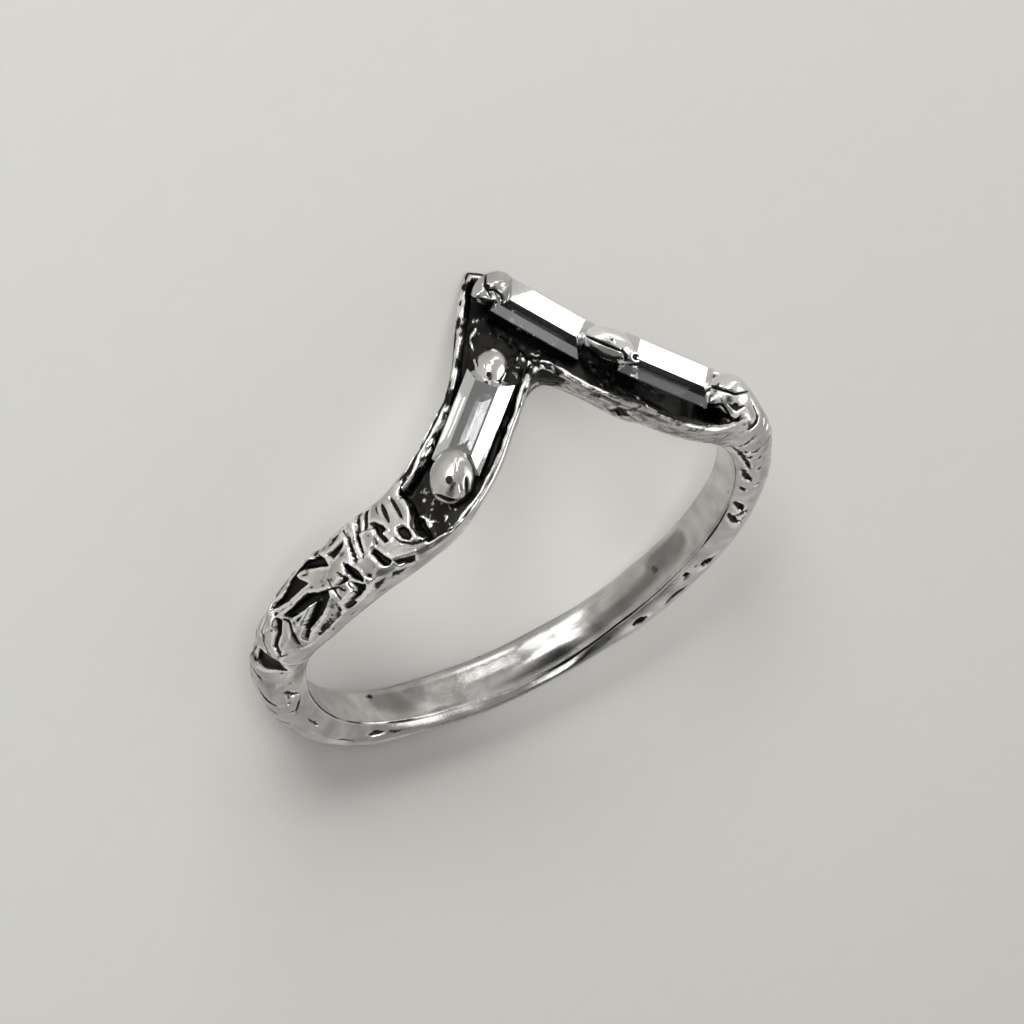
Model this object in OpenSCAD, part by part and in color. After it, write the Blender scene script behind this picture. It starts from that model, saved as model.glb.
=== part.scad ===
// Crown ring: a narrow silver band that rises into an uneven V, or crown, at the front.
// Two step-cut baguettes lie in the trough of one arm and one in the other, and five
// bead prongs hold them by their ends. The ring lies on its side with the peak down.

/* [Finger] */
// Inner diameter of the band
inner_d = 17.3; // [14:0.1:22]
// Relief of the wall behind the V, so that the setting does not press
relief = 0.03; // [0.01:0.01:0.1]
// Angles between which the wall is relieved
relief_start = -38.4; // [-60:0.1:-30]
relief_end = 50.6; // [30:0.1:70]
// How far the inner edges are eased
ease = 0.1; // [0.05:0.05:0.2]

/* [Trough] */
// Width of each rim of the trough
rim_w = 0.2; // [0.1:0.05:0.4]
// Width of the slope from a rim down to the trough's floor
ramp_w = 0.22; // [0.1:0.02:0.4]
// How much wider the upper rim gets on the single-stone arm
rim_swell = 0.22; // [0:0.02:0.4]
// How much wider the lower rim gets on the two-stone arm
low_swell = 0.15; // [0:0.01:0.4]
// Depth of the trough below its rims
trough_depth = 0.58; // [0.2:0.02:0.8]
// Angle at which the trough ends on the single-stone arm
trough_start = -35.5; // [-45:0.5:-25]
// Angle at which the trough ends on the two-stone arm
trough_end = 49.5; // [38:0.5:60]

/* [Stones] */
// Length of each baguette at its girdle
stone_l = 3.5; // [2:0.1:4]
// Width of each baguette at its girdle
stone_w = 1.75; // [1:0.05:2]
// Height of the crown, from girdle to table
crown_h = 0.52; // [0.3:0.02:0.8]
// Depth of the pavilion, from girdle to keel
pavilion_h = 0.82; // [0.5:0.02:1.2]
// Thickness of the girdle
girdle_t = 0.06; // [0.02:0.01:0.15]
// Gap between a stone and its seat
seat_gap = 0.03; // [0.02:0.01:0.1]

/* [Rest] */
// Turn about X that lays the peak and the back of the shank on the floor
rest_tilt = -16.38; // [-30:0.01:30]
// Turn about Y that brings the third point of support down
rest_roll = 0.74; // [-5:0.01:5]
// Shift along X that centres the outline on the origin
shift_x = -0.13; // [-3:0.01:3]
// Shift along Y that centres the outline on the origin
shift_y = 1.07; // [-3:0.01:3]
// Height of the middle of the finger hole above the floor
lift_z = 3.65; // [-3:0.01:6]

/* [Hidden] */

inner_r = inner_d / 2;
mid_r = inner_r + 1.5;
mm_per_deg = mid_r * PI / 180;
bore_clear = 12;
bore_sides = 96;

// Sections of the band from the back round to the peak, a row each: the angle from the
// peak, then the heights of the inner lower and upper edges and of the outer lower and
// upper edges over the shank's middle plane, the wall, and the rounding of outer edges.
ANGLE = 0;
IN_LOW = 1;
IN_HIGH = 2;
OUT_LOW = 3;
OUT_HIGH = 4;
WALL = 5;
EDGE = 6;
single_arm = [
    [-180, -0.75, 0.75, -1.00, 1.00, 1.47, 0.60],
    [-150, -0.75, 0.75, -1.00, 1.00, 1.45, 0.60],
    [-125, -0.72, 0.78, -1.00, 1.00, 1.48, 0.60],
    [-105, -0.55, 0.85, -0.92, 1.08, 1.68, 0.60],
    [-92, -0.42, 0.80, -0.88, 1.00, 1.80, 0.60],
    [-82, -0.65, 0.75, -1.00, 1.00, 1.77, 0.60],
    [-74, -1.00, 0.78, -1.18, 1.10, 1.78, 0.60],
    [-64, -1.24, 0.80, -1.30, 1.16, 1.70, 0.60],
    [-54, -1.43, 0.68, -1.50, 1.03, 1.62, 0.60],
    [-46, -1.55, 0.72, -1.66, 1.04, 1.58, 0.55],
    [-38, -1.62, 0.66, -1.80, 0.92, 1.54, 0.40],
    [-33, -1.60, 0.80, -1.86, 1.10, 1.50, 0.25],
    [-27, -1.38, 1.20, -1.76, 1.50, 1.52, 0.15],
    [-22, -0.97, 1.72, -1.45, 2.05, 1.55, 0.12],
    [-17.5, -0.50, 2.25, -1.00, 2.60, 1.55, 0.12],
    [-13, -0.05, 3.15, -0.38, 3.50, 1.55, 0.12],
    [-8.5, 0.66, 4.30, 0.40, 4.72, 1.55, 0.12],
    [-4.5, 1.28, 5.28, 1.07, 5.76, 1.55, 0.12],
    [-1.5, 1.72, 5.96, 1.64, 6.44, 1.55, 0.12],
    [0, 1.90, 6.26, 1.90, 6.72, 1.55, 0.12]
];
double_arm = [
    [0, 1.90, 6.26, 1.90, 6.72, 1.55, 0.12],
    [3, 2.13, 5.96, 2.15, 6.39, 1.55, 0.12],
    [6, 2.15, 5.50, 1.75, 5.85, 1.50, 0.12],
    [10, 1.66, 4.73, 0.85, 5.04, 1.45, 0.20],
    [14, 1.00, 3.94, 0.12, 4.21, 1.45, 0.20],
    [19, 0.15, 2.95, -0.45, 3.22, 1.40, 0.20],
    [24.5, -0.27, 2.10, -1.10, 2.42, 1.40, 0.20],
    [29.5, -0.69, 1.55, -1.45, 1.87, 1.40, 0.20],
    [35.4, -0.99, 1.15, -1.65, 1.48, 1.44, 0.20],
    [42.4, -1.09, 0.93, -1.55, 1.26, 1.60, 0.25],
    [50, -0.98, 0.82, -1.32, 1.15, 1.82, 0.45],
    [57, -0.85, 0.76, -1.17, 1.08, 1.90, 0.60],
    [65, -0.81, 0.75, -1.11, 1.04, 1.77, 0.60],
    [75, -0.78, 0.75, -1.05, 1.00, 1.58, 0.60],
    [95, -0.75, 0.75, -1.00, 1.00, 1.55, 0.60],
    [120, -0.72, 0.78, -1.00, 1.00, 1.50, 0.60],
    [150, -0.75, 0.75, -1.00, 1.00, 1.45, 0.60],
    [180, -0.75, 0.75, -1.00, 1.00, 1.47, 0.60]
];

// Chisel cuts on the shoulder: from angle and height, to angle and height, half width, depth.
cuts = [
    [-54.5, 0.25, -60.9, 0.75, 0.26, 0.28],
    [-59.6, 0.74, -72.5, 0.58, 0.30, 0.35],
    [-57.3, -0.60, -72.5, 0.20, 0.30, 0.35],
    [-57.8, -0.60, -69.4, -1.10, 0.26, 0.30],
    [-42.0, 0.30, -40.7, -0.65, 0.26, 0.22],
    [-44.5, -0.62, -42.8, -1.35, 0.24, 0.22],
    [-50.9, -0.35, -48.8, -1.30, 0.24, 0.22],
    [-89.2, 0.60, -81.8, -1.05, 0.26, 0.28]
];

// Places of the stones: angle and height of the girdle's centre, its radius over the
// inner wall, the way the length points, the lean over the width and over the length.
upper_place = [9.0, 3.96, 1.55, -50.9, -0.9, 4.4];
lower_place = [28.7, 0.78, 1.73, -38.9, -12.5, -6.7];
single_place = [-14.6, 1.27, 1.60, 40.9, -7.2, -3.5];

// Bead prongs: angle, height, centre over the inner wall, direction, half length, half width.
beads = [
    [2.3, 5.62, 1.70, 8, 0.82, 0.51],
    [18.4, 2.12, 1.78, -42, 1.00, 0.58],
    [43.0, -0.37, 1.85, -30, 0.83, 0.76],
    [-6.5, 2.74, 1.65, 52, 0.70, 0.53],
    [-23.4, -0.14, 1.65, 48, 0.98, 0.80]
];
bead_steps = 9;
bead_sides = 24;
root_share = 0.75;
root_h = 1;

// Cubic through the rows of one arm, with free ends at the peak and level ones at the back.
function gap(rows, i) = rows[i + 1][ANGLE] - rows[i][ANGLE];
function rise(rows, col, i) = (rows[i + 1][col] - rows[i][col]) / gap(rows, i);
function tangent(rows, col, i) =
    abs(rows[i][ANGLE]) == 180 ? 0
    : i == 0 ? rise(rows, col, 0)
    : i == len(rows) - 1 ? rise(rows, col, i - 1)
    : (rise(rows, col, i - 1) * gap(rows, i) + rise(rows, col, i) * gap(rows, i - 1))
        / (gap(rows, i) + gap(rows, i - 1));
function row_at(rows, a, i = 0) =
    i >= len(rows) - 2 || a <= rows[i + 1][ANGLE] ? i : row_at(rows, a, i + 1);
function cubic(t, p0, m0, p1, m1) =
    (2 * t ^ 3 - 3 * t ^ 2 + 1) * p0 + (t ^ 3 - 2 * t ^ 2 + t) * m0
    + (3 * t ^ 2 - 2 * t ^ 3) * p1 + (t ^ 3 - t ^ 2) * m1;
function along(rows, col, a) =
    let (i = row_at(rows, a), w = gap(rows, i), t = (a - rows[i][ANGLE]) / w)
    cubic(t, rows[i][col], w * tangent(rows, col, i), rows[i + 1][col], w * tangent(rows, col, i + 1));
function size_at(col, a) = a <= 0 ? along(single_arm, col, a) : along(double_arm, col, a);

// Slope of an edge in the unrolled outer face, taken on its own side of the peak.
step = 0.05;
function slope_at(col, a) =
    let (a1 = a <= 0 ? min(a + step, 0) : a + step, a0 = a <= 0 ? a - step : max(a - step, 0.001))
    (size_at(col, a1) - size_at(col, a0)) / ((a1 - a0) * mm_per_deg);
peak_h = size_at(OUT_HIGH, 0);
left_slope = slope_at(OUT_HIGH, -0.01);
right_slope = slope_at(OUT_HIGH, 0.01);
function across(slope) = 1 / sqrt(1 + slope ^ 2);
function smooth(x) = let (c = min(max(x, 0), 1)) c * c * (3 - 2 * c);

// Distance from a point of the outer face to the band's upper outline, its lower outline
// and the ends of the trough, all measured square to the edge.
function from_high(a, z) =
    min(
        a <= 0 ? (size_at(OUT_HIGH, a) - z) * across(slope_at(OUT_HIGH, a))
            : (peak_h + left_slope * a * mm_per_deg - z) * across(left_slope),
        a > 0 ? (size_at(OUT_HIGH, a) - z) * across(slope_at(OUT_HIGH, a))
            : (peak_h + right_slope * a * mm_per_deg - z) * across(right_slope)
    );
function from_low(a, z) = (z - size_at(OUT_LOW, a)) * across(slope_at(OUT_LOW, a));
function from_ends(a) = min((a - trough_start) * mm_per_deg, (trough_end - a) * mm_per_deg);

// Depth of the trough, of the rounded edges and of the chisel cuts at a point.
function high_inset(a, z) = from_high(a, z) - rim_swell * smooth((-a - 12) / 14);
function low_inset(a, z) = from_low(a, z) - low_swell * smooth((a - 7) / 8) * smooth((42 - a) / 8);
function trough(a, z) =
    from_ends(a) <= rim_w ? 0
    : trough_depth * smooth((min(high_inset(a, z), low_inset(a, z), from_ends(a)) - rim_w) / ramp_w);
function edge_drop(e, r) = e >= r ? 0 : r - sqrt(max(r ^ 2 - (r - e) ^ 2, 0));
function cut_depth(c, a, z) =
    let (
        p = [(a - c[0]) * mm_per_deg, z - c[1]],
        q = [(c[2] - c[0]) * mm_per_deg, c[3] - c[1]],
        t = min(max(p * q / (q * q), 0), 1),
        d = norm(p - t * q)
    )
    c[5] * max(1 - d / c[4], 0);
function cut_at(a, z) = max([for (c = cuts) cut_depth(c, a, z)]);
crown_rise = 0.1;
function face_r(a, z) =
    let (
        low = size_at(OUT_LOW, a),
        high = size_at(OUT_HIGH, a),
        t = 2 * (z - low) / (high - low) - 1,
        edge = min(from_high(a, z), from_low(a, z))
    )
    inner_r + size_at(WALL, a) + crown_rise * (0.5 - t ^ 2)
        - trough(a, z) - edge_drop(edge, size_at(EDGE, a)) - cut_at(a, z);

// One section of the band, as radius and height, from the inner lower edge out and round.
edge_steps = [0, 0.06, 0.18, 0.3, 0.42, 0.56, 0.74];
inside = 0.35;
bulge = 0.06;
function low_side(a, low, half) =
    [for (e = edge_steps) min(low + e / across(slope_at(OUT_LOW, a)), low + half * (0.1 + e))];
function high_side(a, high, half) =
    [for (e = edge_steps) max(high - e / across(slope_at(OUT_HIGH, a)), high - half * (0.1 + e))];
function reversed(list) = [for (i = [len(list) - 1 : -1 : 0]) list[i]];
function section(a) =
    let (
        in_low = size_at(IN_LOW, a),
        in_high = size_at(IN_HIGH, a),
        low = size_at(OUT_LOW, a),
        high = size_at(OUT_HIGH, a),
        half = (high - low) / 2,
        mid = inner_r + size_at(WALL, a) * 0.45,
        heights = concat(
            low_side(a, low, half), [low + half * 0.93, high - half * 0.93],
            reversed(high_side(a, high, half))
        )
    )
    concat(
        [[inner_r - inside, in_low + 0.3], [inner_r + ease, in_low], [mid, (in_low + low) / 2 - bulge]],
        [for (z = heights) [face_r(a, z), z]],
        [[mid, (in_high + high) / 2 + bulge], [inner_r + ease, in_high], [inner_r - inside, in_high - 0.3]]
    );

// Angles of the sections: close together at the V and the cut shoulder, wide apart behind.
section_angles = concat(
    [for (a = [-180 : 5 : -100]) a], [for (a = [-96 : 2 : -92]) a], [for (a = [-91 : 1 : 50]) a],
    [for (a = [52 : 2 : 100]) a], [for (a = [105 : 5 : 175]) a]
);
function turned(p, a) = [p[0] * sin(a), -p[0] * cos(a), p[1]];

module band_body() {
    rings = [for (a = section_angles) [for (p = section(a)) turned(p, a)]];
    n = len(rings);
    m = len(rings[0]);
    polyhedron(
        points = [for (r = rings) each r],
        faces = [
            for (i = [0 : n - 1])
                for (j = [0 : m - 1])
                    let (i2 = (i + 1) % n, j2 = (j + 1) % m)
                        each [[i * m + j, i2 * m + j2, i2 * m + j], [i * m + j, i * m + j2, i2 * m + j2]]
        ],
        convexity = 6
    );
}

// Stands children on the outer face at an angle and height, their X along the direction.
module on_face(a, z, out, direction) {
    rotate([0, 0, a])
        translate([0, -inner_r - out, z])
            rotate([90, 0, 0])
                rotate([0, 0, direction])
                    children();
}

// A bead: an ellipse turned about its own length.
module bead(half_l, half_w) {
    rotate([0, 90, 0])
        rotate_extrude($fn = bead_sides)
            polygon([for (i = [0 : bead_steps]) let (t = 180 * i / bead_steps)
                [half_w * sin(t), -half_l * cos(t)]]);
}

// The beads, each on a short root that joins it to the trough's floor.
module bead_prongs() {
    for (b = beads)
        on_face(b[0], b[1], b[2], b[3]) {
            bead(b[4], b[5]);
            translate([0, 0, -root_h])
                cylinder(h = root_h, r = b[5] * root_share, $fn = bead_sides);
        }
}

// A step-cut baguette on its girdle plane: one crown step, a table, two pavilion steps.
function rectangle(l, w, z) = [[-l / 2, -w / 2, z], [l / 2, -w / 2, z], [l / 2, w / 2, z], [-l / 2, w / 2, z]];
module baguette(grow) {
    l = stone_l + 2 * grow;
    w = stone_w + 2 * grow;
    levels = [
        rectangle(l - 1.9, w * 0.06, -pavilion_h - grow),
        rectangle(l - 0.9, w * 0.62, -pavilion_h * 0.55 - grow),
        rectangle(l, w, -girdle_t / 2),
        rectangle(l, w, girdle_t / 2),
        rectangle(l - 0.42, w - 0.42, crown_h * 0.55 + grow),
        rectangle(l - 0.86, w - 0.9, crown_h + grow)
    ];
    top = len(levels) - 1;
    polyhedron(
        points = [for (v = levels) each v],
        faces = concat(
            [[0, 1, 2, 3]],
            [for (k = [0 : top - 1]) for (i = [0 : 3])
                [4 * k + i, 4 * k + 4 + i, 4 * k + 4 + (i + 1) % 4, 4 * k + (i + 1) % 4]],
            [[4 * top + 3, 4 * top + 2, 4 * top + 1, 4 * top]]
        )
    );
}

module placed_stone(p, grow = 0) {
    on_face(p[0], p[1], p[2], p[3])
        rotate([-p[4], p[5], 0])
            baguette(grow);
}

module finger_hole() {
    translate([0, 0, -bore_clear])
        cylinder(h = 2 * bore_clear, r = inner_r, $fn = bore_sides);
    intersection() {
        translate([0, 0, -bore_clear])
            cylinder(h = 2 * bore_clear, r = inner_r + relief, $fn = bore_sides);
        translate([0, 0, -bore_clear])
            linear_extrude(2 * bore_clear)
                polygon([for (p = [[0, 0], [40, relief_start], [40, relief_end]])
                    [p[0] * sin(p[1]), -p[0] * cos(p[1])]]);
    }
}

// Lays the ring on its side, peak down, as it comes to rest.
module laid_down() {
    translate([shift_x, shift_y, lift_z])
        rotate([rest_tilt, rest_roll, 0])
            rotate([0, 180, 0])
                children();
}

module band() {
    color([0.62, 0.61, 0.59])
        laid_down()
            difference() {
                union() {
                    band_body();
                    bead_prongs();
                }
                finger_hole();
                placed_stone(upper_place, seat_gap);
                placed_stone(lower_place, seat_gap);
                placed_stone(single_place, seat_gap);
            }
}

module stone_upper() {
    color([0.9, 0.92, 0.94])
        laid_down()
            placed_stone(upper_place);
}

module stone_lower() {
    color([0.9, 0.92, 0.94])
        laid_down()
            placed_stone(lower_place);
}

module stone_single() {
    color([0.9, 0.92, 0.94])
        laid_down()
            placed_stone(single_place);
}

band();
stone_upper();
stone_lower();
stone_single();
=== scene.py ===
import math
from functools import reduce

import bpy
import numpy as np
from mathutils import Matrix, Vector


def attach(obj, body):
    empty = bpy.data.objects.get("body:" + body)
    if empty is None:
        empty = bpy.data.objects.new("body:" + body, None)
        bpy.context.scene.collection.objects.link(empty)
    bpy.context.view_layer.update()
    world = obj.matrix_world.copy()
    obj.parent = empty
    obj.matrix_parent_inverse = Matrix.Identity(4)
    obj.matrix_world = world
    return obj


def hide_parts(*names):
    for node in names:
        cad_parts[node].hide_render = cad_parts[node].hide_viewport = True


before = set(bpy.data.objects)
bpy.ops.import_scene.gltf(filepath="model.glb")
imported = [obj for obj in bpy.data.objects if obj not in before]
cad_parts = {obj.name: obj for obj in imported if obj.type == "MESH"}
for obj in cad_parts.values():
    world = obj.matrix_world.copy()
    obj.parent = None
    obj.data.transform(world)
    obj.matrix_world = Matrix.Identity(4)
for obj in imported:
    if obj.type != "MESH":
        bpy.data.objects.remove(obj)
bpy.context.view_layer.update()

MM = 0.001

# The finger hole, and the pose in which the ring lies on its side
INNER_R = 8.65
RELIEF = 0.03
RELIEF_START, RELIEF_END = -38.4, 50.6
EASE = 0.1
REST_TILT, REST_ROLL = -16.38, 0.74
REST_SHIFT = (-0.13, 1.07, 3.65)
MID_R = INNER_R + 1.5
MM_PER_DEG = math.radians(MID_R)

# Sections of the band, as in the part: angle from the peak, inner lower and upper edge,
# outer lower and upper edge, wall, and rounding of the outer edges
SINGLE_ARM = np.array([
    [-180, -0.75, 0.75, -1.00, 1.00, 1.47, 0.60],
    [-150, -0.75, 0.75, -1.00, 1.00, 1.45, 0.60],
    [-125, -0.72, 0.78, -1.00, 1.00, 1.48, 0.60],
    [-105, -0.55, 0.85, -0.92, 1.08, 1.68, 0.60],
    [-92, -0.42, 0.80, -0.88, 1.00, 1.80, 0.60],
    [-82, -0.65, 0.75, -1.00, 1.00, 1.77, 0.60],
    [-74, -1.00, 0.78, -1.18, 1.10, 1.78, 0.60],
    [-64, -1.24, 0.80, -1.30, 1.16, 1.70, 0.60],
    [-54, -1.43, 0.68, -1.50, 1.03, 1.62, 0.60],
    [-46, -1.55, 0.72, -1.66, 1.04, 1.58, 0.55],
    [-38, -1.62, 0.66, -1.80, 0.92, 1.54, 0.40],
    [-33, -1.60, 0.80, -1.86, 1.10, 1.50, 0.25],
    [-27, -1.38, 1.20, -1.76, 1.50, 1.52, 0.15],
    [-22, -0.97, 1.72, -1.45, 2.05, 1.55, 0.12],
    [-17.5, -0.50, 2.25, -1.00, 2.60, 1.55, 0.12],
    [-13, -0.05, 3.15, -0.38, 3.50, 1.55, 0.12],
    [-8.5, 0.66, 4.30, 0.40, 4.72, 1.55, 0.12],
    [-4.5, 1.28, 5.28, 1.07, 5.76, 1.55, 0.12],
    [-1.5, 1.72, 5.96, 1.64, 6.44, 1.55, 0.12],
    [0, 1.90, 6.26, 1.90, 6.72, 1.55, 0.12],
])
DOUBLE_ARM = np.array([
    [0, 1.90, 6.26, 1.90, 6.72, 1.55, 0.12],
    [3, 2.13, 5.96, 2.15, 6.39, 1.55, 0.12],
    [6, 2.15, 5.50, 1.75, 5.85, 1.50, 0.12],
    [10, 1.66, 4.73, 0.85, 5.04, 1.45, 0.20],
    [14, 1.00, 3.94, 0.12, 4.21, 1.45, 0.20],
    [19, 0.15, 2.95, -0.45, 3.22, 1.40, 0.20],
    [24.5, -0.27, 2.10, -1.10, 2.42, 1.40, 0.20],
    [29.5, -0.69, 1.55, -1.45, 1.87, 1.40, 0.20],
    [35.4, -0.99, 1.15, -1.65, 1.48, 1.44, 0.20],
    [42.4, -1.09, 0.93, -1.55, 1.26, 1.60, 0.25],
    [50, -0.98, 0.82, -1.32, 1.15, 1.82, 0.45],
    [57, -0.85, 0.76, -1.17, 1.08, 1.90, 0.60],
    [65, -0.81, 0.75, -1.11, 1.04, 1.77, 0.60],
    [75, -0.78, 0.75, -1.05, 1.00, 1.58, 0.60],
    [95, -0.75, 0.75, -1.00, 1.00, 1.55, 0.60],
    [120, -0.72, 0.78, -1.00, 1.00, 1.50, 0.60],
    [150, -0.75, 0.75, -1.00, 1.00, 1.45, 0.60],
    [180, -0.75, 0.75, -1.00, 1.00, 1.47, 0.60],
])
IN_LOW, IN_HIGH, OUT_LOW, OUT_HIGH, WALL, EDGE = range(6)
CROWN_RISE = 0.1

# The trough and its rims
TROUGH_START, TROUGH_END = -35.5, 49.5
TROUGH_DEPTH = 0.58
RIM_W = 0.2
RAMP_W = 0.2
HIGH_RIM_SWELL = 0.26
LOW_RIM_SWELL = 0.17

# Stones: angle, height, direction of the length; and their size at the girdle
STONES = {
    "stone_upper": (9.0, 3.96, -50.9),
    "stone_lower": (28.7, 0.78, -38.9),
    "stone_single": (-14.6, 1.27, 40.9),
}
STONE_L, STONE_W = 3.5, 1.75
SEAT_DEPTH = 0.3

# Black cuts of the single-stone shoulder: outlines as angle and height, and depth
CUT_SHAPES = [
    ([(-59.2, 0.88), (-55.3, 0.6), (-54.4, 0.35), (-54.4, 0.04), (-57.7, 0.4), (-60.4, 0.66),
      (-62.3, 0.68), (-61.6, 0.36), (-60.3, 0.08), (-64.1, 0.19), (-68.1, 0.28), (-72.6, 0.56),
      (-71.5, 0.7), (-68.7, 0.62), (-66, 0.74), (-63.7, 0.86), (-61.2, 0.9)], 0.3),
    ([(-60.1, -0.34), (-61.9, -0.16), (-67.4, 0.02), (-71.3, 0.12), (-69, -0.29), (-66.5, -0.46),
      (-63.8, -0.52), (-61.4, -0.59)], 0.34),
    ([(-61, -0.3), (-57.2, -0.62), (-57.8, -0.86), (-62.6, -1.02), (-67.4, -1.02), (-70.4, -1.12),
      (-70.2, -1), (-67.4, -0.85), (-64.3, -0.72), (-61.6, -0.6)], 0.34),
    ([(-50.9, -0.3), (-49.8, -0.52), (-49, -0.98), (-49, -1.27), (-49.6, -1.32), (-50.6, -1.05),
      (-51.3, -0.68)], 0.22),
    ([(-51.8, -0.98), (-50.9, -1.16), (-49.6, -1.42), (-50.8, -1.48), (-54.2, -1.46), (-58.5, -1.43),
      (-57, -1.33), (-52.4, -1.33), (-51.6, -1.2)], 0.2),
    ([(-44, -0.6), (-43.3, -0.84), (-42, -1.38), (-43, -1.44), (-43.9, -1.36), (-44.5, -1.09),
      (-44.9, -0.7)], 0.22),
    ([(-42, -1.38), (-40, -1.5), (-37.4, -1.64), (-38.7, -1.76), (-41.7, -1.6)], 0.12),
    ([(-38, -0.54), (-36.6, -0.56), (-35.9, -0.83), (-36.1, -1.12), (-37.1, -1.17), (-38, -0.96),
      (-38.3, -0.7)], 0.16),
    ([(-42.3, 0.8), (-41.3, 0.74), (-42.9, 0.15), (-43.9, 0.1)], 0.2),
    ([(-42.6, 0.27), (-41.2, 0.18), (-40, -0.14), (-39.8, -0.36), (-40.9, -0.33), (-40.4, -0.75),
      (-41.4, -0.71), (-41.9, -0.43), (-41.8, -0.08)], 0.18),
    ([(-34.6, -0.62), (-33.3, -0.56), (-33.4, -1.19), (-34.4, -1.42), (-35.1, -1.21), (-35.3, -0.77)], 0.16),
    ([(-53.7, 0.42), (-50.7, 0.36), (-48.5, 0.34), (-49.2, 0.19), (-52.8, 0.12)], 0.18),
    ([(-72.6, 0.2), (-71.7, 0), (-73.9, -0.33), (-76.3, -0.45), (-78.1, -0.78), (-79.3, -0.72),
      (-78.8, -0.26), (-74.7, -0.09)], 0.2),
    ([(-84.5, 0.34), (-83.2, -0.04), (-81.4, -0.64), (-84, -0.93), (-84.9, -0.67), (-87, -0.24),
      (-88.4, 0.26)], 0.26),
]
# Finer cuts of the same shoulder: corner points as angle and height, half width, depth
CUTS = [
    ([(-39.2, -0.78), (-38.5, -1.05), (-36.8, -1.33), (-33.9, -1.5), (-28.3, -1.68)], 0.075, 0.12),
    ([(-47.5, 0.72), (-47.6, 0.02), (-48.8, -0.68)], 0.075, 0.14),
    ([(-46.8, 0.42), (-48.2, -0.66)], 0.065, 0.12),
    ([(-44.5, 0.38), (-45.6, -0.15), (-46.6, -0.7)], 0.08, 0.14),
    ([(-38.3, 0.58), (-38.7, -0.16)], 0.11, 0.16),
    ([(-36, 0.56), (-36, -0.34)], 0.1, 0.14),
    ([(-39.6, 0.72), (-40, 0.3)], 0.05, 0.1),
    ([(-47.8, 0.72), (-53.3, 0.58)], 0.05, 0.1),
    ([(-51.2, 0.86), (-52.1, 0.66)], 0.045, 0.08),
    ([(-54, 0.78), (-55.4, 0.64)], 0.05, 0.1),
    ([(-56.2, -0.33), (-56.1, -1.18)], 0.075, 0.13),
    ([(-53.3, -0.4), (-52, -0.86), (-54.7, -0.74)], 0.07, 0.12),
    ([(-52.4, -0.92), (-52.6, -1.3)], 0.06, 0.12),
    ([(-57.6, -0.6), (-55, -0.8), (-54, -1.1)], 0.05, 0.1),
    ([(-74.5, 0.48), (-78.4, 0.42), (-81.4, 0.21), (-82.3, -0.22)], 0.07, 0.12),
    ([(-71.3, -0.02), (-70, -0.28), (-70.5, -0.6), (-72.2, -1.02)], 0.13, 0.1),
    ([(-66, 0.96), (-76, 0.84)], 0.06, 0.1),
    ([(-68, 0.98), (-72, 0.78)], 0.05, 0.08),
    ([(-78.4, 0.86), (-82.6, 0.66)], 0.06, 0.1),
    ([(-85.5, 0.84), (-88.5, 0.55)], 0.06, 0.1),
    ([(-76.8, -0.9), (-80.2, -0.6)], 0.05, 0.08),
    ([(-60.6, -1.2), (-66, -1.24), (-69, -1.2)], 0.045, 0.07),
]

# Hatch lines across the two bends on the outer face: corner points, half width
HATCH = [
    ([(-90.9, 0.74), (-88, 0.62), (-84.7, 0.46)], 0.05),
    ([(-92.4, 0.56), (-91.8, 0.06), (-92.1, -0.3)], 0.07),
    ([(-94.8, 0.66), (-95.8, 0.2)], 0.05), ([(-96.2, 0.4), (-96.8, -0.2), (-100.2, -0.76)], 0.09),
    ([(-101, 0.3), (-102.6, -0.4), (-105, -0.72)], 0.08), ([(-104.6, 0.4), (-105.6, -0.1)], 0.05),
    ([(-107.8, 0.1), (-110, -0.5), (-111.6, -0.82)], 0.08), ([(-112, 0.2), (-113.2, -0.3)], 0.05),
    ([(-113.6, -0.2), (-116.6, -0.76)], 0.07), ([(-119.6, 0.44), (-121.4, -0.3)], 0.05),
    ([(54.6, 0.3), (57.2, -1.04)], 0.05), ([(58.9, 0.44), (60.2, -0.98)], 0.07),
    ([(62.2, 0.16), (65.3, -1.09)], 0.05), ([(65.8, 0.62), (66.8, -0.62)], 0.06),
    ([(68.2, 0.1), (69.4, -0.95)], 0.07), ([(72.2, 0.56), (73.2, -0.7)], 0.06),
    ([(75.2, 0.2), (75.9, -0.95)], 0.07), ([(79.4, 0.52), (80.6, -0.74)], 0.06),
    ([(83, 0.1), (83.9, -0.9)], 0.07), ([(87.6, 0.5), (88, -0.6)], 0.05),
]
# Cut round the last bead of the two-stone arm
END_CUT = (
    [(53.4, 0.3), (53.1, -0.36), (53, -0.73), (52.7, -1.02), (51.6, -1.2), (50, -1.27), (48.4, -1.16)],
    0.15, 0.22,
)
# How much wider and deeper the cuts, the hatch lines and the grooves of the sides are than listed
CUT_GAIN, HATCH_GAIN, SIDE_GAIN = (1.15, 0.85), (1.8, 1.7), (1.3, 1.1)
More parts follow.
